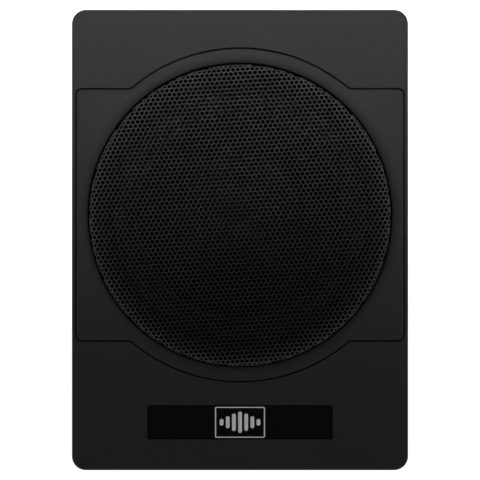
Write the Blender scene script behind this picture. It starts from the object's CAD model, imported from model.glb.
import math

import bmesh
import bpy
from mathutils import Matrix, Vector


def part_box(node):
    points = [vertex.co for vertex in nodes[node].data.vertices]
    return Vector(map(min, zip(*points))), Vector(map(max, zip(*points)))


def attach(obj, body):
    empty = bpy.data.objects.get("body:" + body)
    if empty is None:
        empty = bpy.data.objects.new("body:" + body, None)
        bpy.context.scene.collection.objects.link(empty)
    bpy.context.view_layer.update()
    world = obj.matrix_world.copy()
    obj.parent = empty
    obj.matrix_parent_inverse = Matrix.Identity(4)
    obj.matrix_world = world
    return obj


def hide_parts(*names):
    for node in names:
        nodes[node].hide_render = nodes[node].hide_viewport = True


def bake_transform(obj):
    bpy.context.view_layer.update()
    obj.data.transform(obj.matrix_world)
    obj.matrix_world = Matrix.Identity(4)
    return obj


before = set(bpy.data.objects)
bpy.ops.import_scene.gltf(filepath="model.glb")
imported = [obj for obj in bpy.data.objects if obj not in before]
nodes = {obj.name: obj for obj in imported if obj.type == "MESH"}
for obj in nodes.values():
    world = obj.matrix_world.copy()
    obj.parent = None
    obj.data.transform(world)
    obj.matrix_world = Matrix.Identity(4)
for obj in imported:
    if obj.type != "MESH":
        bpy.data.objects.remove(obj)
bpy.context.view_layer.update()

trimLow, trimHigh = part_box("grille_trim")
speakerY = (trimLow.y + trimHigh.y) / 2  # centre line of the loudspeaker
faceTop = trimHigh.z  # the flat top face
print("loaded", len(nodes), "nodes")


studio = {
    "lens": 120.0,
    "sensor": 36.0,
    "shownWidth": 0.3593,  # how much the view takes in at the top face
    "viewReach": 50.0,
    "floorSize": 8.0,
    "floorDrop": 0.0005,
    "floorWhite": (0.9, 0.9, 0.9, 1),
    "floorRough": 0.8,
    "keyPower": 1.12,
    "keySize": (1.0, 0.45),
    "keyPlace": (0.0, 0.325, 1.55),
    "keySpread": 21.0,  # degrees; a grid on the panel keeps its light over the far end
    "keyColour": (1.0, 0.98, 0.95),
    "fillPower": 3.2,
    "fillSize": (1.2, 1.2),
    "fills": (("fillFront", (-0.9, -1.3, 1.2)), ("fillSide", (1.4, 0.2, 0.9))),
    "skyHigh": (0.45, 0.11, 1.1),  # height of the change, brightness and blueness
    "skyLow": (0.05, 1.2, 1.02),
    "floorGlow": 0.92,
}


def makeCamera(spec):
    data = bpy.data.cameras.new("camera")
    data.lens = spec["lens"]
    data.sensor_width = spec["sensor"]
    data.clip_end = spec["viewReach"]
    camera = bpy.data.objects.new("camera", data)
    bpy.context.collection.objects.link(camera)
    distance = spec["lens"] / spec["sensor"] * spec["shownWidth"]
    camera.location = (0.0, 0.0, faceTop + distance)
    bpy.context.scene.camera = camera


def addLight(name, place, aim, power, size, spread=180.0, colour=(1.0, 1.0, 1.0)):
    data = bpy.data.lights.new(name, "AREA")
    data.spread = math.radians(spread)
    data.shape = "RECTANGLE"
    data.size, data.size_y = size
    data.energy = power
    data.color = colour
    light = bpy.data.objects.new(name, data)
    bpy.context.collection.objects.link(light)
    light.location = place
    light.rotation_euler = (Vector(aim) - Vector(place)).to_track_quat("-Z", "Y").to_euler()


def makeFloor(spec):
    half = spec["floorSize"] / 2
    mesh = bpy.data.meshes.new("floor")
    corners = [(-half, -half, 0), (half, -half, 0), (half, half, 0), (-half, half, 0)]
    mesh.from_pydata(corners, [], [(0, 1, 2, 3)])
    floor = bpy.data.objects.new("floor", mesh)
    bpy.context.collection.objects.link(floor)
    floor.location.z = -spec["floorDrop"]
    material = bpy.data.materials.new("studioFloor")
    material.use_nodes = True
    shader = material.node_tree.nodes["Principled BSDF"]
    shader.inputs["Base Color"].default_value = spec["floorWhite"]
    shader.inputs["Roughness"].default_value = spec["floorRough"]
    shader.inputs["Emission Color"].default_value = (1, 1, 1, 1)
    shader.inputs["Emission Strength"].default_value = spec["floorGlow"]
    # from below the floor is clear, so that the underside can be looked at
    tree = material.node_tree
    clear = tree.nodes.new("ShaderNodeBsdfTransparent")
    side = tree.nodes.new("ShaderNodeNewGeometry")
    mix = tree.nodes.new("ShaderNodeMixShader")
    tree.links.new(side.outputs["Backfacing"], mix.inputs["Fac"])
    tree.links.new(shader.outputs["BSDF"], mix.inputs[1])
    tree.links.new(clear.outputs["BSDF"], mix.inputs[2])
    tree.links.new(mix.outputs["Shader"], tree.nodes["Material Output"].inputs["Surface"])
    mesh.materials.append(material)


def makeLights(spec):
    below = (*spec["keyPlace"][:2], 0)
    addLight("keyPanel", spec["keyPlace"], below, spec["keyPower"], spec["keySize"],
             spread=spec["keySpread"], colour=spec["keyColour"])
    for name, place in spec["fills"]:
        addLight(name, place, (0, 0, 0), spec["fillPower"], spec["fillSize"])


# dark overhead and pale towards the horizon, like a studio with pale walls
def makeSky(spec):
    world = bpy.data.worlds.new("studio")
    world.use_nodes = True
    tree = world.node_tree
    place = tree.nodes.new("ShaderNodeTexCoord")
    split = tree.nodes.new("ShaderNodeSeparateXYZ")
    tree.links.new(place.outputs["Generated"], split.inputs["Vector"])
    shade = tree.nodes.new("ShaderNodeValToRGB")
    for stop, (height, bright, blue) in zip(shade.color_ramp.elements, (spec["skyLow"], spec["skyHigh"])):
        stop.position = height
        stop.color = (bright, bright, bright * blue, 1)
    tree.links.new(split.outputs["Z"], shade.inputs["Fac"])
    tree.links.new(shade.outputs["Color"], tree.nodes["Background"].inputs["Color"])
    bpy.context.scene.world = world


makeCamera(studio)
makeFloor(studio)
makeLights(studio)
makeSky(studio)
bpy.context.scene.view_settings.view_transform = "Standard"
print("camera, floor and lights")


finishes = {}  # every material by name


def startMaterial(name, metallic=0.0, specular=0.5, coat=0.0):
    material = bpy.data.materials.new(name)
    material.use_nodes = True
    tree = material.node_tree
    shader = tree.nodes["Principled BSDF"]
    shader.inputs["Metallic"].default_value = metallic
    shader.inputs["Specular IOR Level"].default_value = specular
    shader.inputs["Coat Weight"].default_value = coat
    shader.inputs["Coat Roughness"].default_value = 0.08
    place = tree.nodes.new("ShaderNodeTexCoord")
    finishes[name] = material
    return material, tree, shader, place.outputs["Object"]


def noise(tree, vector, scale, detail=3.0, stretch=None):
    if stretch:
        mapping = tree.nodes.new("ShaderNodeMapping")
        mapping.inputs["Scale"].default_value = stretch
        tree.links.new(vector, mapping.inputs["Vector"])
        vector = mapping.outputs["Vector"]
    node = tree.nodes.new("ShaderNodeTexNoise")
    node.inputs["Scale"].default_value = scale
    node.inputs["Detail"].default_value = detail
    tree.links.new(vector, node.inputs["Vector"])
    return node.outputs["Fac"]


def ramp(tree, value, low, high, start=0.35, end=0.65):
    node = tree.nodes.new("ShaderNodeValToRGB")
    node.color_ramp.elements[0].position = start
    node.color_ramp.elements[1].position = end
    node.color_ramp.elements[0].color = (*low, 1)
    node.color_ramp.elements[1].color = (*high, 1)
    tree.links.new(value, node.inputs["Fac"])
    return node.outputs["Color"]


def spread(tree, value, low, high):
    node = tree.nodes.new("ShaderNodeMapRange")
    node.inputs["From Min"].default_value = 0.3
    node.inputs["From Max"].default_value = 0.7
    node.inputs["To Min"].default_value = low
    node.inputs["To Max"].default_value = high
    tree.links.new(value, node.inputs["Value"])
    return node.outputs["Result"]


def bump(tree, shader, height, strength, depth):
    node = tree.nodes.new("ShaderNodeBump")
    node.inputs["Strength"].default_value = strength
    node.inputs["Distance"].default_value = depth
    tree.links.new(height, node.inputs["Height"])
    last = shader.inputs["Normal"]
    if last.is_linked:
        tree.links.new(last.links[0].from_socket, node.inputs["Normal"])
    tree.links.new(node.outputs["Normal"], last)


def tinted(colour, amount):
    return tuple(min(1.0, c * amount) for c in colour)


# coated, moulded and painted surfaces: fine grain, clouds of tone, uneven gloss
def grainy(name, colour, rough, grain=2200, depth=0.00004, contrast=0.12, uneven=1.0, **shaderWords):
    material, tree, shader, vector = startMaterial(name, **shaderWords)
    clouds = noise(tree, vector, 16, 4)
    shade = ramp(tree, clouds, tinted(colour, 1 - contrast), tinted(colour, 1 + contrast))
    tree.links.new(shade, shader.inputs["Base Color"])
    gloss = spread(tree, noise(tree, vector, 70, 4), rough - 0.05 * uneven, rough + 0.06 * uneven)
    tree.links.new(gloss, shader.inputs["Roughness"])
    bump(tree, shader, noise(tree, vector, grain, 2), 0.5, depth)
    return material, tree, shader, vector


# painted sheet whose coat is worn paler towards the fold; wear gives (radius, share worn)
def paintedGrille(name, colour, rough, worn, wear):
    material, tree, shader, vector = grainy(name, colour, rough, grain=3000, depth=0.00002, specular=0.17)
    fresh = shader.inputs["Base Color"].links[0].from_socket
    reach = wear[-1][0]
    centred = tree.nodes.new("ShaderNodeMapping")
    centred.inputs["Location"].default_value = (0, -speakerY / reach, 0)
    centred.inputs["Scale"].default_value = (1 / reach, 1 / reach, 0)
    tree.links.new(vector, centred.inputs["Vector"])
    radius = tree.nodes.new("ShaderNodeVectorMath")
    radius.operation = "LENGTH"
    tree.links.new(centred.outputs["Vector"], radius.inputs[0])
    share = tree.nodes.new("ShaderNodeValToRGB")
    while len(share.color_ramp.elements) < len(wear):
        share.color_ramp.elements.new(1.0)
    for stop, (place, amount) in zip(share.color_ramp.elements, wear):
        stop.position = place / reach
        stop.color = (amount, amount, amount, 1)
    tree.links.new(radius.outputs["Value"], share.inputs["Fac"])
    mix = tree.nodes.new("ShaderNodeMix")
    mix.data_type = "RGBA"
    mix.inputs[7].default_value = (*tinted(colour, worn), 1)
    tree.links.new(share.outputs["Color"], mix.inputs[0])
    tree.links.new(fresh, mix.inputs[6])
    tree.links.new(mix.outputs[2], shader.inputs["Base Color"])


# pressed, rolled or turned metal: grain drawn out one way
def drawnMetal(name, colour, rough, stretch=(1, 40, 1), scale=90, **shaderWords):
    material, tree, shader, vector = startMaterial(name, metallic=1.0, **shaderWords)
    lines = noise(tree, vector, scale, 5, stretch)
    shade = ramp(tree, lines, tinted(colour, 0.82), tinted(colour, 1.1))
    tree.links.new(shade, shader.inputs["Base Color"])
    tree.links.new(spread(tree, lines, rough - 0.08, rough + 0.1), shader.inputs["Roughness"])
    bump(tree, shader, lines, 0.25, 0.00003)
    return material, tree, shader, vector


# bands that repeat at a pitch, for threads and wires
def bands(tree, vector, pitch, direction, distortion):
    wave = tree.nodes.new("ShaderNodeTexWave")
    wave.bands_direction = direction
    wave.inputs["Scale"].default_value = 0.314 / pitch
    wave.inputs["Distortion"].default_value = distortion
    tree.links.new(vector, wave.inputs["Vector"])
    return wave.outputs["Fac"]


# threads running two ways, for cloth
def wovenCloth(name, colour, rough, pitch):
    material, tree, shader, vector = startMaterial(name, specular=0.25)
    threads = [bands(tree, vector, pitch, direction, 0.6) for direction in ("X", "Y")]
    both = tree.nodes.new("ShaderNodeMath")
    both.operation = "MULTIPLY"
    tree.links.new(threads[0], both.inputs[0])
    tree.links.new(threads[1], both.inputs[1])
    shade = ramp(tree, both.outputs["Value"], tinted(colour, 0.55), colour, 0.0, 0.8)
    tree.links.new(shade, shader.inputs["Base Color"])
    gloss = spread(tree, noise(tree, vector, 60), rough - 0.05, rough + 0.05)
    tree.links.new(gloss, shader.inputs["Roughness"])
    bump(tree, shader, both.outputs["Value"], 0.6, 0.0001)


# wire lying side by side, for coils
def woundWire(name, colour, pitch, direction):
    material, tree, shader, vector = startMaterial(name, metallic=0.85)
    wires = bands(tree, vector, pitch, direction, 0.4)
    shade = ramp(tree, wires, tinted(colour, 0.35), colour, 0.1, 0.6)
    tree.links.new(shade, shader.inputs["Base Color"])
    tree.links.new(spread(tree, noise(tree, vector, 90), 0.25, 0.4), shader.inputs["Roughness"])
    bump(tree, shader, wires, 0.8, 0.0002)


# polished black with faint smears
def polishedBlack(name):
    material, tree, shader, vector = startMaterial(name, specular=0.2, coat=0.05)
    haze = noise(tree, vector, 30, 6, (1, 2.5, 1))
    shade = ramp(tree, haze, (0.0012, 0.0012, 0.0015), (0.002, 0.002, 0.0024))
    tree.links.new(shade, shader.inputs["Base Color"])
    tree.links.new(spread(tree, haze, 0.07, 0.16), shader.inputs["Roughness"])
    bump(tree, shader, noise(tree, vector, 25, 1), 0.05, 0.0002)


# solder mask over copper tracks
def circuitBoard(name):
    material, tree, shader, vector = startMaterial(name, specular=0.5, coat=0.3)
    bricks = tree.nodes.new("ShaderNodeTexBrick")
    bricks.inputs["Scale"].default_value = 110
    bricks.inputs["Mortar Size"].default_value = 0.05
    bricks.inputs["Color1"].default_value = (0.012, 0.10, 0.05, 1)
    bricks.inputs["Color2"].default_value = (0.02, 0.15, 0.075, 1)
    bricks.inputs["Mortar"].default_value = (0.05, 0.28, 0.14, 1)
    tree.links.new(vector, bricks.inputs["Vector"])
    tree.links.new(bricks.outputs["Color"], shader.inputs["Base Color"])
    tree.links.new(spread(tree, noise(tree, vector, 80), 0.25, 0.4), shader.inputs["Roughness"])
    bump(tree, shader, bricks.outputs["Fac"], 0.3, 0.0001)


# tinted see-through plastic, for the fuse and the light
def clearPlastic(name, colour, transmission, glow=0.0):
    material, tree, shader, vector = startMaterial(name)
    shader.inputs["Transmission Weight"].default_value = transmission
    shade = ramp(tree, noise(tree, vector, 120), tinted(colour, 0.85), colour)
    tree.links.new(shade, shader.inputs["Base Color"])
    tree.links.new(spread(tree, noise(tree, vector, 200), 0.12, 0.25), shader.inputs["Roughness"])
    bump(tree, shader, noise(tree, vector, 300, 1), 0.1, 0.0001)
    shader.inputs["Emission Color"].default_value = (*colour, 1)
    shader.inputs["Emission Strength"].default_value = glow


caseBlack = (0.0205, 0.0208, 0.0218)
grainy("castBlack", caseBlack, 0.62, grain=1500, contrast=0.03, uneven=0.3, specular=0.3)
grainy("trimBlack", caseBlack, 0.60, grain=2600, depth=0.00003, contrast=0.02, uneven=0.3, specular=0.3)
paintedGrille("grilleBlack", (0.0079, 0.008, 0.0084), 0.45, 8.1,
              ((0, 0), (0.055, 0.025), (0.086, 0.11), (0.098, 0.128), (0.106, 0.41), (0.1112, 1)))
grainy("plateBlack", (0.018, 0.018, 0.019), 0.5, grain=1200, depth=0.00005, contrast=0.15)
grainy("rubberBlack", (0.016, 0.016, 0.016), 0.78, grain=1800, depth=0.00006, contrast=0.2,
       specular=0.35)
grainy("foamSeal", (0.0014, 0.0014, 0.0015), 0.95, grain=900, depth=0.0002, contrast=0.3, specular=0.03)
grainy("surroundRubber", (0.0045, 0.0045, 0.005), 0.65, grain=1400, depth=0.00003, contrast=0.1,
       specular=0.07)
grainy("pulpPaper", (0.002, 0.002, 0.0022), 0.85, grain=600, depth=0.00025, contrast=0.25, specular=0.05)
grainy("capPlastic", (0.0018, 0.0018, 0.002), 0.6, grain=1200, depth=0.00003, contrast=0.1, specular=0.05)
grainy("basketBlack", (0.0022, 0.0022, 0.0025), 0.65, grain=800, depth=0.00006, contrast=0.12, specular=0.04)
grainy("blackScrew", (0.03, 0.03, 0.032), 0.38, grain=1500, depth=0.00002, metallic=0.6)
grainy("deviceBlack", (0.020, 0.020, 0.021), 0.6, grain=1600, depth=0.00005, contrast=0.15)
grainy("socketBlack", (0.018, 0.018, 0.019), 0.45, grain=1800, depth=0.00004, contrast=0.1)
grainy("socketNatural", (0.68, 0.66, 0.58), 0.4, grain=1800, depth=0.00003, contrast=0.04)
grainy("panelBlack", (0.014, 0.014, 0.015), 0.5, grain=1400, depth=0.00005, contrast=0.1)
grainy("knobBlack", (0.022, 0.022, 0.023), 0.5, grain=2200, depth=0.00004, contrast=0.1)
grainy("leverWhite", (0.72, 0.72, 0.69), 0.4, grain=2200, depth=0.00002, contrast=0.04)
grainy("insulatorWhite", (0.78, 0.78, 0.74), 0.35, grain=2000, depth=0.00002, contrast=0.04)
grainy("insulatorRed", (0.48, 0.012, 0.012), 0.35, grain=2000, depth=0.00002, contrast=0.08)
grainy("leadRed", (0.42, 0.015, 0.012), 0.42, grain=1200, depth=0.00004, contrast=0.12)
grainy("ferrite", (0.045, 0.045, 0.048), 0.7, grain=500, depth=0.0002, contrast=0.3)
grainy("canSleeve", (0.02, 0.024, 0.045), 0.35, grain=700, depth=0.00003, contrast=0.1)
grainy("coreIron", (0.26, 0.27, 0.08), 0.55, grain=900, depth=0.00006, contrast=0.15)
drawnMetal("screwSteel", (0.56, 0.57, 0.59), 0.3)
drawnMetal("motorSteel", (0.40, 0.41, 0.42), 0.4, stretch=(1, 1, 30))
drawnMetal("spreaderMetal", (0.66, 0.67, 0.68), 0.38, stretch=(1, 1, 40))
drawnMetal("contactMetal", (0.80, 0.62, 0.28), 0.25, stretch=(1, 20, 1))
drawnMetal("turnedBrass", (0.72, 0.53, 0.24), 0.28, stretch=(1, 1, 60))
drawnMetal("canMetal", (0.48, 0.49, 0.50), 0.35)
drawnMetal("formerMetal", (0.62, 0.60, 0.56), 0.35, stretch=(1, 1, 30))
grainy("barSilver", (0.95, 0.955, 0.96), 0.5, grain=2400, depth=0.00001, contrast=0.04, metallic=0.5)
wovenCloth("spiderCloth", (0.42, 0.26, 0.06), 0.75, 0.0009)
woundWire("windingCopper", (0.62, 0.26, 0.10), 0.0005, "Z")
woundWire("tinselCopper", (0.66, 0.34, 0.16), 0.0008, "Y")
polishedBlack("glossBlack")
circuitBoard("boardGreen")
clearPlastic("fuseClear", (0.90, 0.75, 0.25), 0.55)
clearPlastic("lightBlue", (0.05, 0.22, 0.9), 0.3, 0.6)

nodeFinish = {
    "castBlack": ["top_shell"],
    "plateBlack": ["bottom_plate"],
    "foamSeal": ["enclosure_gasket", "driver_seal", "surround_ring"],
    "blackScrew": ["bottom_screws", "panel_screws"],
    "rubberBlack": ["rubber_feet"],
    "trimBlack": ["grille_trim"],
    "grilleBlack": ["grille_mesh"],
    "screwSteel": ["trim_screws", "board_screws", "fuse_blades"],
    "glossBlack": ["inlay_strip", "badge_plate"],
    "barSilver": ["badge_bars"],
    "basketBlack": ["driver_basket", "driver_screws"],
    "surroundRubber": ["surround"],
    "pulpPaper": ["cone"],
    "capPlastic": ["dust_cap"],
    "formerMetal": ["coil_former"],
    "windingCopper": ["coil_winding", "toroid_winding"],
    "tinselCopper": ["tinsel_leads"],
    "spiderCloth": ["spider"],
    "motorSteel": ["motor_top_plate", "motor_back_plate"],
    "ferrite": ["magnet"],
    "deviceBlack": ["terminal_board", "power_transistors", "rca_block"],
    "contactMetal": ["terminal_tabs", "power_pins", "high_level_pins", "rca_sleeves", "remote_contacts"],
    "boardGreen": ["amp_board"],
    "turnedBrass": ["board_standoffs"],
    "spreaderMetal": ["heat_spreader", "transistor_clamp"],
    "coreIron": ["toroid_core"],
    "canSleeve": ["capacitors"],
    "leadRed": ["speaker_leads"],
    "panelBlack": ["control_panel"],
    "socketBlack": ["power_socket", "fuse_holder", "remote_port"],
    "fuseClear": ["fuse_body"],
    "socketNatural": ["high_level_socket"],
    "insulatorWhite": ["rca_insulator_left"],
    "insulatorRed": ["rca_insulator_right"],
    "canMetal": ["potentiometers", "switch_bodies"],
    "knobBlack": ["gain_knob", "lowpass_knob", "bass_knob"],
    "leverWhite": ["phase_lever", "auto_on_lever"],
    "lightBlue": ["power_led"],
}
for finish, members in nodeFinish.items():
    for member in members:
        nodes[member].data.materials.clear()
        nodes[member].data.materials.append(finishes[finish])
print("materials", len(finishes))


# edges of moulded, cut and turned pieces aren't knife sharp: width, and the nodes that have it
softEdges = {
    0.0004: ["bottom_plate", "heat_spreader", "magnet", "motor_top_plate", "motor_back_plate"],
    0.00025: ["control_panel", "power_socket", "fuse_holder", "fuse_body", "high_level_socket", "rca_block",
              "remote_port", "transistor_clamp", "power_transistors", "potentiometers", "switch_bodies",
              "terminal_board", "capacitors", "toroid_core", "toroid_winding"],
    0.0001: ["power_pins", "high_level_pins", "rca_sleeves", "rca_insulator_left", "rca_insulator_right",
             "panel_screws", "bottom_screws", "fuse_blades", "terminal_tabs", "board_screws", "amp_board"],
}
softening = {"weld": 0.000005, "flatAngle": 1, "sharpAngle": 40, "segments": 2}


def softenEdges(piece, width, spec):
    weld = piece.modifiers.new("weld", "WELD")
    weld.merge_threshold = spec["weld"]
    flat = piece.modifiers.new("flat", "DECIMATE")
    flat.decimate_type = "DISSOLVE"
    flat.angle_limit = math.radians(spec["flatAngle"])
    bevel = piece.modifiers.new("bevel", "BEVEL")
    bevel.width = width
    bevel.segments = spec["segments"]
    bevel.limit_method = "ANGLE"
    bevel.angle_limit = math.radians(spec["sharpAngle"])
    bevel.harden_normals = True


for width, members in softEdges.items():
    for member in members:
        softenEdges(nodes[member], width, softening)
print("soft edges")


def addPiece(name, mesh, finish, slot, body, *replaced):
    mesh.materials.append(finishes[finish])
    piece = bpy.data.objects.new(name, mesh)
    bpy.context.collection.objects.link(piece)
    if body:
        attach(piece, body)
    if replaced:
        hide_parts(*replaced)
    return piece


# quads between rows of points; each row closes on itself
def skin(bm, rows):
    made = [[bm.verts.new(p) for p in row] for row in rows]
    for low, high in zip(made, made[1:]):
        for i in range(len(low)):
            j = (i + 1) % len(low)
            bm.faces.new((low[i], low[j], high[j], high[i]))
    return made


def capEnds(bm, made):
    bm.faces.new(made[0])
    bm.faces.new(made[-1])


# joins the last row to the first, so that a profile closes on itself
def joinEnds(bm, made):
    count = len(made[0])
    for i in range(count):
        j = (i + 1) % count
        bm.faces.new((made[-1][i], made[-1][j], made[0][j], made[0][i]))


def finishMesh(bm, name, sharp=40):
    bmesh.ops.recalc_face_normals(bm, faces=bm.faces)
    for face in bm.faces:
        face.smooth = True
    for edge in bm.edges:
        if len(edge.link_faces) == 2 and edge.calc_face_angle(0) > math.radians(sharp):
            edge.smooth = False
    mesh = bpy.data.meshes.new(name)
    bm.to_mesh(mesh)
    bm.free()
    return mesh


def arc(centreX, centreY, radius, start, end, steps):
    turns = [math.radians(start + (end - start) * i / steps) for i in range(steps + 1)]
    return [(centreX + radius * math.cos(t), centreY + radius * math.sin(t)) for t in turns]


def line(a, b, step):
    count = max(1, round(math.dist(a, b) / step))
    return [(a[0] + (b[0] - a[0]) * i / count, a[1] + (b[1] - a[1]) * i / count) for i in range(1, count)]


# a profile of (radius, height) points turned about an upright axis, or about one running to +Y
def turned(bm, profile, place, axis="Z", steps=48, flutes=0, fluteDepth=0.0, fluteFrom=0.0, hollow=False):
    rings = []
    for radius, height in profile:
        ring = []
        for i in range(steps):
            turn = 2 * math.pi * i / steps
            r = radius
            if flutes and radius > fluteFrom:
                r -= fluteDepth * (0.5 + 0.5 * math.cos(flutes * turn))
            a, b = r * math.cos(turn), r * math.sin(turn)
            step = (a, b, height) if axis == "Z" else (a, height, b)
            ring.append(tuple(p + q for p, q in zip(place, step)))
        rings.append(ring)
    made = skin(bm, rings)
    if hollow:
        joinEnds(bm, made)
    else:
        capEnds(bm, made)


# a closed profile of (radius, height) points turned through part of a circle, ends closed
def sector(bm, profile, startTurn, endTurn, steps):
    rings = []
    for i in range(steps + 1):
        turn = math.radians(startTurn + (endTurn - startTurn) * i / steps)
        ring = [(r * math.cos(turn), speakerY + r * math.sin(turn), z) for r, z in profile]
        rings.append(ring)
    capEnds(bm, skin(bm, rings))


def softBox(bm, low, high, rounding, segments=2):
    made = bmesh.ops.create_cube(bm, size=1.0)["verts"]
    for vert in made:
        vert.co = [a + (b - a) * (c + 0.5) for a, b, c in zip(low, high, vert.co)]
    edges = list({edge for vert in made for edge in vert.link_edges})
    bmesh.ops.bevel(bm, geom=edges, offset=rounding, segments=segments, profile=0.5, affect="EDGES")


# a rectangle with round corners, moved inwards by the inset
def roundLoop(centre, half, corner, inset, z):
    points = []
    for k, (sideX, sideY) in enumerate(((1, 1), (-1, 1), (-1, -1), (1, -1))):
        cornerX = centre[0] + sideX * (half[0] - corner)
        cornerY = centre[1] + sideY * (half[1] - corner)
        points += arc(cornerX, cornerY, corner - inset, 90 * k, 90 * k + 90, 8)
    return [(x, y, z) for x, y in points]


# a flat plate with round corners and a softened upper edge
def softPlate(bm, centre, half, corner, low, high, edge):
    places = [(0, low), (0, high - edge), (edge * 0.3, high - edge * 0.3), (edge, high), (edge * 1.3, high)]
    capEnds(bm, skin(bm, [roundLoop(centre, half, corner, inset, z) for inset, z in places]))


# a smooth run through hand-set points
def smoothRoute(points, steps=6):
    knots = [Vector(p) for p in points]
    knots = [2 * knots[0] - knots[1]] + knots + [2 * knots[-1] - knots[-2]]
    route = []
    for a, b, c, d in zip(knots, knots[1:], knots[2:], knots[3:]):
        for i in range(steps):
            t = i / steps
            bend = (2 * a - 5 * b + 4 * c - d) * t * t + (3 * b - a - 3 * c + d) * t ** 3
            route.append(b + (c - a) * t / 2 + bend / 2)
    route.append(knots[-2])
    return route


# a round lead along a route, with strands laid round it where twist isn't 0
def leadTube(bm, route, radius, sides=12, strands=0, twist=0.0):
    rings = []
    for i, point in enumerate(route):
        ahead = (route[min(i + 1, len(route) - 1)] - route[max(i - 1, 0)]).normalized()
        across = ahead.cross(Vector((1, 0, 0))).normalized()
        up = across.cross(ahead)
        ring = []
        for k in range(sides):
            turn = 2 * math.pi * k / sides
            r = radius * (1 - 0.12 * (1 + math.cos(strands * turn + twist * i))) if strands else radius
            ring.append(point + r * (math.cos(turn) * across + math.sin(turn) * up))
        rings.append(ring)
    capEnds(bm, skin(bm, rings))


trim = {
    "halfLength": 0.094,
    "cornerRadius": 0.004,
    "kinkRadius": 0.006,
    "edgeRound": 0.0007,
    "mouth": 0.1143,
    "lip": 0.1085,
    "slopeEnd": 0.1172,
    "flatFrom": 0.1225,
    "drop": 0.0018,
    "seat": 0.0008,
    "groove": 0.001,
    "flange": 0.0012,  # how far the ring of the lip reaches below the panel
    "ringWidth": 0.0041,
    "rollDepth": 0.00075,
    "rollSteps": 6,
    "mouthRound": 0.0004,
    "sealHeight": 0.0016,
    "sealPlay": 0.00005,
    "sealRound": 0.0002,
    "foamSheet": 0.0003,
}


# one quarter of the outline, from the +X side round to the +Y side
def trimQuarter(spec):
    halfWidth = trimHigh.x
    halfLength = spec["halfLength"]
    arch = trimHigh.y - speakerY
    corner = spec["cornerRadius"]
    kink = spec["kinkRadius"]
    kinkX = math.sqrt((arch + kink) ** 2 - (halfLength + kink) ** 2)
    kinkY = halfLength + kink
    turn = math.degrees(math.atan2(kinkY, kinkX))
    points = [(halfWidth, 0.0)]
    points += line((halfWidth, 0), (halfWidth, halfLength - corner), 0.004)
    points += arc(halfWidth - corner, halfLength - corner, corner, 0, 90, 10)
    points += line((halfWidth - corner, halfLength), (kinkX, halfLength), 0.004)
    points += arc(kinkX, kinkY, kink, 270, 180 + turn, 5)
    points += arc(0, 0, arch, turn, 90, 26)[1:]
    return points


def trimOutline(spec):
    quarter = trimQuarter(spec)
    outline = quarter[:-1]
    outline += [(-x, y) for x, y in reversed(quarter[1:])]
    outline += [(-x, -y) for x, y in quarter[:-1]]
    outline += [(x, -y) for x, y in reversed(quarter[1:])]
    return outline


# the outline moved inwards, or outwards where the inset is below 0
def insetRow(outline, inset, z):
    row = []
    for i, (x, y) in enumerate(outline):
        before = outline[i - 1]
        after = outline[(i + 1) % len(outline)]
        along = Vector((after[0] - before[0], after[1] - before[1])).normalized()
        row.append((x - along.y * inset, y + along.x * inset + speakerY, z))
    return row


# foam cord in the bottom of the parting groove
def makeTrimSeal(spec):
    outline = trimOutline(spec)
    low = trimLow.z + spec["flange"]
    high = low + spec["sealHeight"]
    shoulder = high - spec["sealRound"]
    near, far = -spec["sealPlay"], -spec["groove"] + spec["sealPlay"]
    places = ((near, low), (near, shoulder), ((near + far) / 2, high), (far, shoulder), (far, low))
    rows = [insetRow(outline, inset, z) for inset, z in places]
    bm = bmesh.new()
    joinEnds(bm, skin(bm, rows))
    addPiece("trimSeal", finishMesh(bm, "trimSeal"), "foamSeal", "gasket", "enclosure")


def makeTrim(spec):
    outline = trimOutline(spec)
    low = trimLow.z + spec["flange"]
    rounding = spec["edgeRound"]

    def inner(radius, z):
        row = []
        for x, y in outline:
            length = math.hypot(x, y)
            row.append((x / length * radius, y / length * radius + speakerY, z))
        return row

    rows = [insetRow(outline, 0, low)]
    for step in range(5):
        turn = math.radians(22.5 * step)
        across, down = rounding * (1 - math.cos(turn)), rounding * (1 - math.sin(turn))
        rows.append(insetRow(outline, across, faceTop - down))
    # from the flat face the surface rolls down into a straight slope
    for step in range(spec["rollSteps"] + 1):
        share = step / spec["rollSteps"]
        radius = spec["flatFrom"] + (spec["slopeEnd"] - spec["flatFrom"]) * share
        rows.append(inner(radius, faceTop - spec["rollDepth"] * share ** 2))
    mouth, lip, bend = spec["mouth"], spec["lip"], spec["mouthRound"]
    mouthZ, seatZ = faceTop - spec["drop"], low + spec["seat"]
    places = ((mouth + bend, mouthZ + bend / 4), (mouth + bend / 4, mouthZ - bend / 4),
              (mouth, mouthZ - bend), (mouth, seatZ), (lip, seatZ), (lip, trimLow.z),
              (lip + spec["ringWidth"], trimLow.z), (lip + spec["ringWidth"], low))
    rows += [inner(radius, z) for radius, z in places]
    bm = bmesh.new()
    joinEnds(bm, skin(bm, rows))
    mesh = finishMesh(bm, "trimPanel")
    addPiece("trimPanel", mesh, "trimBlack", "trim_black", "enclosure", "grille_trim")


# foam under the grille's skirt and over the lip, seen as the dark gap round the grille
def makeGrilleFoam(spec):
    mouth, lip, sheet = spec["mouth"], spec["lip"], spec["foamSheet"]
    seat = trimLow.z + spec["flange"] + spec["seat"]
    profile = [(mouth, seat), (mouth, seat + sheet), (lip - sheet, seat + sheet)]
    profile += [(lip - sheet, trimLow.z), (lip, trimLow.z), (lip, seat)]
    bm = bmesh.new()
    turned(bm, profile, (0, speakerY, 0), steps=160, hollow=True)
    addPiece("grilleFoam", finishMesh(bm, "grilleFoam"), "foamSeal", "gasket", "enclosure")


makeTrim(trim)
makeTrimSeal(trim)
makeGrilleFoam(trim)
print("trim panel")


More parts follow.
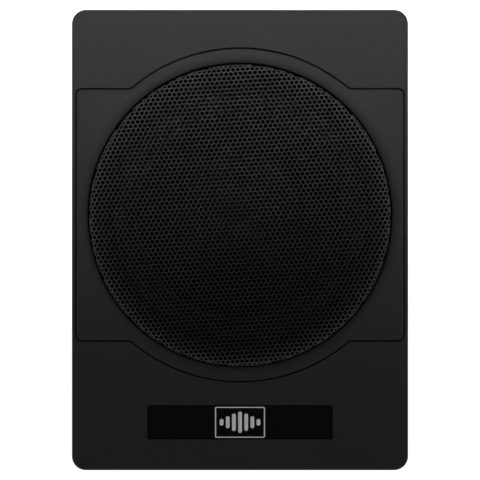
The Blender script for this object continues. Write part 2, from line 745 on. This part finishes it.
grille = {
    "pitch": 0.0036,
    "holeRadius": 0.00148,
    "turn": 3.7,  # degrees the rows of holes rise to the right
    "thickness": 0.0009,
    "foldDrop": 0.0029,
    "foldRadius": 0.0034,
    "play": 0.0004,  # room round the skirt in its seat; the grille sits towards the bay
}


def makeGrille(spec):
    low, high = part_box("grille_mesh")
    edge = high.x - spec["foldRadius"] - spec["play"]
    middleY = speakerY - spec["play"]
    sphere = (edge ** 2 + spec["foldDrop"] ** 2) / (2 * spec["foldDrop"])
    foldZ = high.z - spec["foldDrop"]
    fold = spec["foldRadius"]
    reach = edge + fold * math.pi / 2 + (foldZ - fold - low.z)

    # lays a flat sheet over the crown, round the fold and down the skirt
    def drape(x, y, sink):
        radius = math.hypot(x, y)
        if radius < 1e-9:
            return (0.0, middleY, high.z - sink)
        if radius <= edge:
            r = radius
            z = high.z - sphere + math.sqrt(sphere ** 2 - r ** 2) - sink
        elif radius <= edge + fold * math.pi / 2:
            turn = (radius - edge) / fold
            r = edge + (fold - sink) * math.sin(turn)
            z = foldZ - fold + (fold - sink) * math.cos(turn)
        else:
            r = edge + fold - sink
            z = foldZ - fold - (radius - edge - fold * math.pi / 2)
        return (x / radius * r, y / radius * r + middleY, z)

    pitch = spec["pitch"]
    cell = pitch / math.sqrt(3)
    turn = math.radians(spec["turn"])
    count = int(reach / pitch) + 2
    bm = bmesh.new()
    shared = {}
    around = [(0, 0)] + [(i, j) for i in (-1, 0, 1) for j in (-1, 0, 1) if i or j]

    # neighbouring cells share a corner, found to within 20 micrometres
    def corner(x, y):
        key = (round(x * 1e6 / 20), round(y * 1e6 / 20))
        for near in around:
            found = shared.get((key[0] + near[0], key[1] + near[1]))
            if found:
                return found
        shared[key] = bm.verts.new(drape(x, y, 0))
        return shared[key]

    for row in range(-2 * count, 2 * count + 1):
        for column in range(-2 * count, 2 * count + 1):
            flatX = (column + row / 2) * pitch
            flatY = row * pitch * math.sqrt(3) / 2
            if math.hypot(flatX, flatY) > reach - cell:
                continue
            x = flatX * math.cos(turn) - flatY * math.sin(turn)
            y = flatX * math.sin(turn) + flatY * math.cos(turn)
            corners, rim, floorRim = [], [], []
            for k in range(6):
                a = turn + math.radians(30 + 60 * k)
                corners.append(corner(x + cell * math.cos(a), y + cell * math.sin(a)))
            for k in range(12):
                a = turn + math.radians(15 + 30 * k)
                holeX = x + spec["holeRadius"] * math.cos(a)
                holeY = y + spec["holeRadius"] * math.sin(a)
                rim.append(bm.verts.new(drape(holeX, holeY, 0)))
                floorRim.append(bm.verts.new(drape(holeX, holeY, spec["thickness"])))
            for k in range(6):
                bm.faces.new((corners[k], rim[(2 * k + 1) % 12], rim[2 * k]))
                after = (k + 1) % 6
                bm.faces.new((corners[k], corners[after], rim[(2 * k + 2) % 12], rim[2 * k + 1]))
            for k in range(12):
                after = (k + 1) % 12
                bm.faces.new((rim[k], rim[after], floorRim[after], floorRim[k]))
    mesh = finishMesh(bm, "grilleSheet", 50)
    addPiece("grilleSheet", mesh, "grilleBlack", "grille_black", "enclosure", "grille_mesh")


makeGrille(grille)
print("perforated grille")


strip = {
    "corner": 0.0012,
    "edge": 0.0004,
    "markCorner": 0.0013,
    "markEdge": 0.0002,
    "rimWidth": 0.0008,
    "rimBevel": 0.0002,
    "barHeights": (0.005, 0.009, 0.013, 0.016, 0.013, 0.009, 0.005),
    "barWidth": 0.0028,
    "barPitch": 0.0046,
    "barBevel": 0.0004,
    "barFoot": 0.00003,
}


def makeStrip(spec):
    plates = (("glossStrip", "inlay_strip", spec["corner"], spec["edge"]),
              ("markPlate", "badge_plate", spec["markCorner"], spec["markEdge"]))
    for name, node, corner, edge in plates:
        low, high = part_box(node)
        centre, half = (low + high) / 2, (high - low) / 2
        bm = bmesh.new()
        softPlate(bm, centre, half, corner, low.z, high.z, edge)
        addPiece(name, finishMesh(bm, name), "glossBlack", "gloss_black", "enclosure", node)


# plain rim and level bars standing up from the plate
def makeMark(spec):
    low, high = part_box("badge_bars")
    centre, half = (low + high) / 2, (high - low) / 2
    corner, width, bevel = spec["markCorner"], spec["rimWidth"], spec["rimBevel"]
    places = [(0, low.z), (0, high.z - bevel), (bevel, high.z), (width - bevel, high.z)]
    places += [(width, high.z - bevel), (width, low.z)]
    bm = bmesh.new()
    rows = [roundLoop(centre, half, corner, inset, z) for inset, z in places]
    skin(bm, rows + rows[:1])
    for i, height in enumerate(spec["barHeights"]):
        middle = (centre.x + (i - (len(spec["barHeights"]) - 1) / 2) * spec["barPitch"], centre.y)
        halfBar = (spec["barWidth"] / 2, height / 2)
        places = [(0, low.z), (0, low.z + spec["barFoot"]), (spec["barBevel"], high.z)]
        rows = [roundLoop(middle, halfBar, halfBar[0] - 1e-5, inset, z) for inset, z in places]
        capEnds(bm, skin(bm, rows))
    bmesh.ops.remove_doubles(bm, verts=bm.verts, dist=1e-7)
    mesh = finishMesh(bm, "levelBars", 20)
    addPiece("levelBars", mesh, "barSilver", "bar_silver", "enclosure", "badge_bars")


makeStrip(strip)
makeMark(strip)
print("gloss strip")


feet = {
    "profile": [(0.0001, 0.0009), (0.0038, 0.0009), (0.0043, 0.0004), (0.0046, 0.0), (0.0074, 0.0),
                (0.0083, 0.0003), (0.0088, 0.0009), (0.0090, 0.0017), (0.0089, 0.0022), (0.0086, 0.0024),
                (0.0086, 0.0027), (0.0089, 0.003), (0.0001, 0.003)],
}


def makeFeet(spec):
    low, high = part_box("rubber_feet")
    radius = max(r for r, z in spec["profile"])
    bm = bmesh.new()
    for x in (low.x + radius, high.x - radius):
        for y in (low.y + radius, 0.0, high.y - radius):
            turned(bm, spec["profile"], (x, y, 0), steps=64)
    addPiece("rubberFeet", finishMesh(bm, "rubberFeet"), "rubberBlack", "rubber", "enclosure", "rubber_feet")


makeFeet(feet)
print("rubber feet")


speaker = {
    "surroundSectors": 24,
    "rollMiddle": 0.0875,
    "rollRadius": 0.0075,
    "rollSheet": 0.0008,
    "landInner": 0.0775,
    "landOuter": 0.0972,
    "spiderSectors": 12,
    "spiderInner": 0.02505,
    "spiderRolls": 5,
    "spiderRollsEnd": 0.052,
    "spiderRise": 0.0012,
    "spiderSheet": 0.0005,
    "liningOuter": 0.1129,
    "liningSheet": 0.0004,
    "liningPlay": 0.0003,
    "landEdge": 0.0002,
    "rollSteps": 22,
    "waveSteps": 60,
    "ropeTwist": 0.55,
    "ropeStrands": 4,
    "tinselRadius": 0.0007,
    "tinselRoute": [(0.005, -0.0716, 0.0455), (0.005, -0.068, 0.0448), (0.005, -0.063, 0.0436),
                    (0.006, -0.057, 0.0434), (0.007, -0.050, 0.0442), (0.008, -0.043, 0.0456),
                    (0.009, -0.036, 0.0468)],
    "leadRadius": 0.0012,
    "leadRoute": [(0.005, -0.0838, 0.04595), (0.005, -0.088, 0.0464), (0.005, -0.092, 0.0468),
                  (0.006, -0.097, 0.0468), (0.007, -0.102, 0.046), (0.008, -0.107, 0.0435),
                  (0.009, -0.111, 0.039), (0.009, -0.113, 0.034), (0.009, -0.113, 0.029),
                  (0.009, -0.113, 0.024)],
}


# pieces that follow the cone at their inner edge and the basket at their outer one
def coneSector(name, bm, finish, slotName, middleTurn, innerRadius, outerRadius, *replaced):
    piece = addPiece(name, finishMesh(bm, name), finish, slotName, None, *replaced)
    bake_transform(piece)


def makeSurround(spec):
    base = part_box("surround")[0].z
    middle, outer = spec["rollMiddle"], spec["rollRadius"]
    inner = outer - spec["rollSheet"]
    top = base + spec["rollSheet"]
    lift = math.degrees(math.asin(spec["rollSheet"] / outer))
    landInner, landOuter, edge = spec["landInner"], spec["landOuter"], spec["landEdge"]
    profile = [(landInner, base), (landInner, top - edge), (landInner + edge, top)]
    profile += arc(middle, base, outer, 180 - lift, lift, spec["rollSteps"])
    profile += [(landOuter - edge, top), (landOuter, top - edge), (landOuter, base)]
    profile += arc(middle, base, inner, 0, 180, spec["rollSteps"])
    count = spec["surroundSectors"]
    for k in range(count):
        bm = bmesh.new()
        sector(bm, profile, k * 360 / count, (k + 1) * 360 / count, 6)
        coneSector(f"surround_{k:02d}", bm, "surroundRubber", "rubber", (k + 0.5) * 360 / count,
                   middle - inner + 0.0003, middle + inner - 0.0003, "surround")


def makeSpider(spec):
    low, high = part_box("spider")
    base = (low.z + high.z - spec["spiderSheet"]) / 2
    start, end = spec["spiderInner"], spec["spiderRollsEnd"]
    waves, steps = spec["spiderRolls"], spec["waveSteps"]
    wave = []
    for i in range(steps + 1):
        t = i / steps
        rise = spec["spiderRise"] * math.sin(2 * math.pi * waves * t) * math.sin(math.pi * t)
        wave.append((start + (end - start) * t, base - rise))
    profile = wave + [(high.x, base), (high.x, base + spec["spiderSheet"])]
    profile += [(r, z + spec["spiderSheet"]) for r, z in reversed(wave)]
    count = spec["spiderSectors"]
    for k in range(count):
        bm = bmesh.new()
        sector(bm, profile, k * 360 / count, (k + 1) * 360 / count, 8)
        coneSector(f"spider_{k:02d}", bm, "spiderCloth", "spider_cloth", (k + 0.5) * 360 / count,
                   start + 0.0015, end - 0.002, "spider")


def makeLeads(spec):
    for side, word in ((1, "right"), (-1, "left")):
        route = smoothRoute([(side * x, y, z) for x, y, z in spec["tinselRoute"]])
        bm = bmesh.new()
        leadTube(bm, route, spec["tinselRadius"], 16, spec["ropeStrands"], spec["ropeTwist"])
        name = "tinselLead_" + word
        mesh = finishMesh(bm, name, 60)
        piece = addPiece(name, mesh, "tinselCopper", "copper", None, "tinsel_leads")
        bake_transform(piece)
        route = smoothRoute([(side * x, y, z) for x, y, z in spec["leadRoute"]])
        bm = bmesh.new()
        leadTube(bm, route, spec["leadRadius"])
        name = "speakerLead_" + word
        addPiece(name, finishMesh(bm, name, 60), "leadRed", "lead_red", "enclosure", "speaker_leads")


# felt on the ledge and wall of the well round the loudspeaker
def makeWellLining(spec):
    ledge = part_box("driver_seal")[0].z
    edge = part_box("driver_basket")[1].x + spec["liningPlay"]
    sheet = spec["liningSheet"]
    outer, top, foot = spec["liningOuter"], trimLow.z - spec["liningPlay"], ledge + 0.00005
    profile = [(edge, foot), (outer, foot), (outer, top)]
    profile += [(outer - sheet, top), (outer - sheet, ledge + sheet), (edge, ledge + sheet)]
    bm = bmesh.new()
    turned(bm, profile, (0, speakerY, 0), steps=128, hollow=True)
    addPiece("wellLining", finishMesh(bm, "wellLining"), "foamSeal", "gasket", "enclosure")


makeSurround(speaker)
makeSpider(speaker)
makeLeads(speaker)
makeWellLining(speaker)
print("loudspeaker pieces")


controls = {
    "knobProfile": [(0.0001, 0.0003), (0.0034, 0.0003), (0.0040, 0.0001), (0.0045, 0.0), (0.0050, 0.0002),
                    (0.0054, 0.0007), (0.0055, 0.0014), (0.0055, 0.0054), (0.0052, 0.0060), (0.0030, 0.0060),
                    (0.0030, 0.0158), (0.0028, 0.0161), (0.0001, 0.0161)],
    "fluting": (24, 0.0003, 0.0051),  # count, depth, and the radius that it starts from
    "pointer": ((-0.0004, 0.0001, 0.0008), (0.0004, 0.0005, 0.0046)),
    "knobs": (("gain", "gain_knob", "gain_control"), ("lowpass", "lowpass_knob", "lowpass_control"),
              ("bass", "bass_knob", "bass_control")),
    "levers": (("phase", "phase_lever", "phase_switch"), ("autoOn", "auto_on_lever", "auto_on_switch")),
    "leverEdge": 0.0002,
    "ribRise": 0.0003,
    "ribHalf": 0.0002,
    "ribEdge": 0.00008,
    "turnEnd": 140,
    "ticks": 11,
    "tickInner": 0.0065,
    "tickOuter": 0.0077,
    "tickWidth": 0.00032,
    "tickRise": 0.00005,
    "tickSink": 0.00002,
    "longTick": 0.0005,
    "slideTicks": (0.0012, 0.0024),  # their lower and upper end above the lever
    "slideTravel": 0.0025,
}


def makeKnobs(spec):
    for word, node, body in spec["knobs"]:
        low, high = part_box(node)
        place = ((low.x + high.x) / 2, low.y, (low.z + high.z) / 2)
        bm = bmesh.new()
        turned(bm, spec["knobProfile"], place, "Y", 144, *spec["fluting"])
        addPiece(word + "Knob", finishMesh(bm, word, 50), "knobBlack", "knob_black", body, node)
        bm = bmesh.new()
        ends = [[a + b for a, b in zip(place, offset)] for offset in spec["pointer"]]
        softBox(bm, *ends, 0.0001)
        addPiece(word + "Pointer", finishMesh(bm, word), "leverWhite", "lever_white", body)


def makeLevers(spec):
    for word, node, body in spec["levers"]:
        low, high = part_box(node)
        bm = bmesh.new()
        edge, rise, half = spec["leverEdge"], spec["ribRise"], spec["ribHalf"]
        softBox(bm, (low.x, low.y + rise, low.z), high, edge)
        for share in (0.22, 0.5, 0.78):
            z = low.z + (high.z - low.z) * share
            softBox(bm, (low.x + edge, low.y, z - half), (high.x - edge, low.y + rise + edge, z + half),
                    spec["ribEdge"])
        addPiece(word + "Lever", finishMesh(bm, word), "leverWhite", "lever_white", body, node)


# painted ticks round each knob and beside each switch
def makeDialMarks(spec):
    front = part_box("control_panel")[0].y
    bm = bmesh.new()
    half = spec["tickWidth"] / 2
    back, rise = front + spec["tickSink"], front - spec["tickRise"]
    for word, node, body in spec["knobs"]:
        low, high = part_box(node)
        x, z = (low.x + high.x) / 2, (low.z + high.z) / 2
        for i in range(spec["ticks"]):
            turn = math.radians(spec["turnEnd"] * (2 * i / (spec["ticks"] - 1) - 1))
            longer = i in (0, spec["ticks"] // 2, spec["ticks"] - 1)
            outer = spec["tickOuter"] + (spec["longTick"] if longer else 0)
            away = Vector((math.sin(turn), 0, math.cos(turn)))
            side = Vector((math.cos(turn), 0, -math.sin(turn))) * half
            rows = []
            for y in (back, rise):
                base = Vector((x, y, z))
                near, far = base + away * spec["tickInner"], base + away * outer
                rows.append([near - side, near + side, far + side, far - side])
            capEnds(bm, skin(bm, rows))
    for word, node, body in spec["levers"]:
        low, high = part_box(node)
        near, far = spec["slideTicks"]
        for x in ((low.x + high.x) / 2, (low.x + high.x) / 2 + spec["slideTravel"]):
            softBox(bm, (x - half, rise, high.z + near), (x + half, back, high.z + far), 0.00001, 1)
    addPiece("dialMarks", finishMesh(bm, "dialMarks"), "leverWhite", "lever_white", "enclosure")


makeKnobs(controls)
makeLevers(controls)
makeDialMarks(controls)
print("controls")
